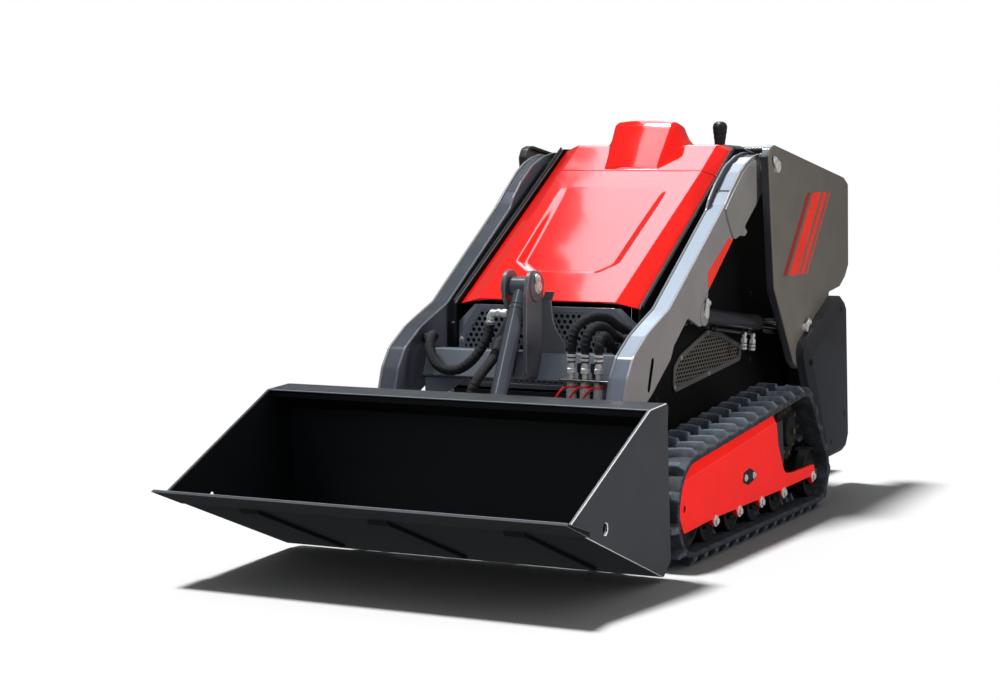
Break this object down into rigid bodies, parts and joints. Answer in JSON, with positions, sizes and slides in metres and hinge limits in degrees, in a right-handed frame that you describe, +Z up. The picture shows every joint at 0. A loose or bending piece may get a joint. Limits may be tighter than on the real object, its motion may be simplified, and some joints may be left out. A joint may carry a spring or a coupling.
{
  "type": "stand-on compact track loader",
  "caption": "Stand-on compact track loader with lift arms, tilting bucket, opening hood, rubber tracks and folding operator platform.",
  "frame": {"origin": "on the ground under the middle of the whole machine, bucket lip to platform edge", "axes": "+Z up, the bucket faces -Y, the machine's left side is +X"},
  "size_m": [1.2, 3.038, 1.28],
  "materials": {
    "frame_grey": "satin powder coat",
    "arm_grey": "satin powder coat",
    "bucket_black": "satin paint, worn bright edges",
    "hood_red": "high gloss paint",
    "guard_red": "semi gloss paint",
    "track_rubber": "moulded rubber",
    "hose_sleeve": "woven nylon sleeve over rubber hose",
    "zinc": "bright zinc plate",
    "chrome_rod": "polished",
    "black_plastic": "textured",
    "pad_vinyl": "vinyl cover",
    "cast_metal": "painted castings",
    "steel_edge": "worn steel"
  },
  "bodies": {
    "chassis": {"track_left": "track_rubber", "track_right": "track_rubber", "track_guard_left": "guard_red", "track_guard_right": "guard_red", "track_frame_left": "frame_grey", "track_frame_right": "frame_grey", "chassis_side_left": "frame_grey", "chassis_side_right": "frame_grey", "belly_plate": "frame_grey", "front_bulkhead": "frame_grey", "front_grille": "frame_grey", "side_grilles": "frame_grey", "rear_panel": "frame_grey", "tower_plate_left": "frame_grey", "tower_plate_right": "frame_grey", "rear_guard_left": "frame_grey", "rear_guard_right": "frame_grey", "lift_anchors": "frame_grey", "platform_hinges": "frame_grey", "front_idlers": "cast_metal", "rear_idlers": "cast_metal", "drive_sprockets": "cast_metal", "drive_motors": "cast_metal", "track_rollers": "cast_metal", "engine_block": "cast_metal", "top_cowl": "hood_red", "air_scoop": "hood_red", "control_panel": "black_plastic", "control_levers": "black_plastic", "grab_bar": "frame_grey", "thigh_pad": "pad_vinyl", "arm_pivot_pins": "zinc"},
    "hood": {"hood": "hood_red"},
    "platform": {"platform": "frame_grey"},
    "arms": {"arm_left": "arm_grey", "arm_right": "arm_grey", "arm_crossbeam": "arm_grey", "tilt_bracket": "arm_grey", "coupler_bracket": "arm_grey", "quick_couplers": "zinc", "lift_pins": "zinc", "tilt_pin": "zinc", "aux_hose_inner": "hose_sleeve", "aux_hose_middle": "hose_sleeve", "aux_hose_outer": "hose_sleeve"},
    "tilt_barrel": {"tilt_hose_upper": "hose_sleeve", "tilt_hose_lower": "hose_sleeve", "tilt_barrel": "frame_grey"},
    "lift_barrel_left": {"lift_left_barrel": "frame_grey"},
    "lift_rod_left": {"lift_left_rod": "chrome_rod"},
    "lift_barrel_right": {"lift_right_barrel": "frame_grey"},
    "lift_rod_right": {"lift_right_rod": "chrome_rod"},
    "tilt_rod": {"tilt_rod": "chrome_rod"},
    "bucket": {"bucket_shell": "bucket_black", "wear_strips": "bucket_black", "attach_plate": "bucket_black", "cutting_edge": "steel_edge", "bucket_pins": "zinc"}
  },
  "joints": [
    {"name": "arm_lift", "type": "hinge", "parent": "chassis", "child": "arms", "pos_m": [0, 0.492, 1.125], "axis": [-1, 0, 0], "range_deg": [0, 72]},
    {"name": "bucket_tilt", "type": "hinge", "parent": "arms", "child": "bucket", "pos_m": [0, -0.75, 0.08], "axis": [1, 0, 0], "range_deg": [-6, 100]},
    {"name": "lift_swing_left", "type": "hinge", "parent": "arms", "child": "lift_barrel_left", "pos_m": [0.365, -0.03, 0.671], "axis": [1, 0, 0], "range_deg": [0, 34]},
    {"name": "lift_slide_left", "type": "slide", "parent": "lift_barrel_left", "child": "lift_rod_left", "axis": [0, 0.9945, -0.1043], "range_m": [0, 0.48]},
    {"name": "lift_swing_right", "type": "hinge", "parent": "arms", "child": "lift_barrel_right", "pos_m": [-0.365, -0.03, 0.671], "axis": [1, 0, 0], "range_deg": [0, 34]},
    {"name": "lift_slide_right", "type": "slide", "parent": "lift_barrel_right", "child": "lift_rod_right", "axis": [0, 0.9945, -0.1043], "range_m": [0, 0.48]},
    {"name": "tilt_swing", "type": "hinge", "parent": "arms", "child": "tilt_barrel", "pos_m": [0, -0.495, 0.767], "axis": [1, 0, 0], "range_deg": [-6.5, 0.5]},
    {"name": "tilt_slide", "type": "slide", "parent": "tilt_barrel", "child": "tilt_rod", "axis": [0, -0.4561, -0.8899], "range_m": [-0.017, 0.252]},
    {"name": "hood_hinge", "type": "hinge", "parent": "chassis", "child": "hood", "pos_m": [0, 0.326, 1.109], "axis": [-1, 0, 0], "range_deg": [0, 42]},
    {"name": "platform_fold", "type": "hinge", "parent": "chassis", "child": "platform", "pos_m": [0, 1.128, 0.225], "axis": [1, 0, 0], "range_deg": [0, 85]}
  ],
  "couplings": [
    {"joint": "lift_swing_left", "follows": "arm_lift", "ratio": 0.46139},
    {"joint": "lift_slide_left", "follows": "arm_lift", "m_per_rad": 0.37559},
    {"joint": "lift_swing_right", "follows": "arm_lift", "ratio": 0.46139},
    {"joint": "lift_slide_right", "follows": "arm_lift", "m_per_rad": 0.37559},
    {"joint": "tilt_swing", "follows": "bucket_tilt", "ratio": -0.060574},
    {"joint": "tilt_slide", "follows": "bucket_tilt", "m_per_rad": 0.14287}
  ]
}
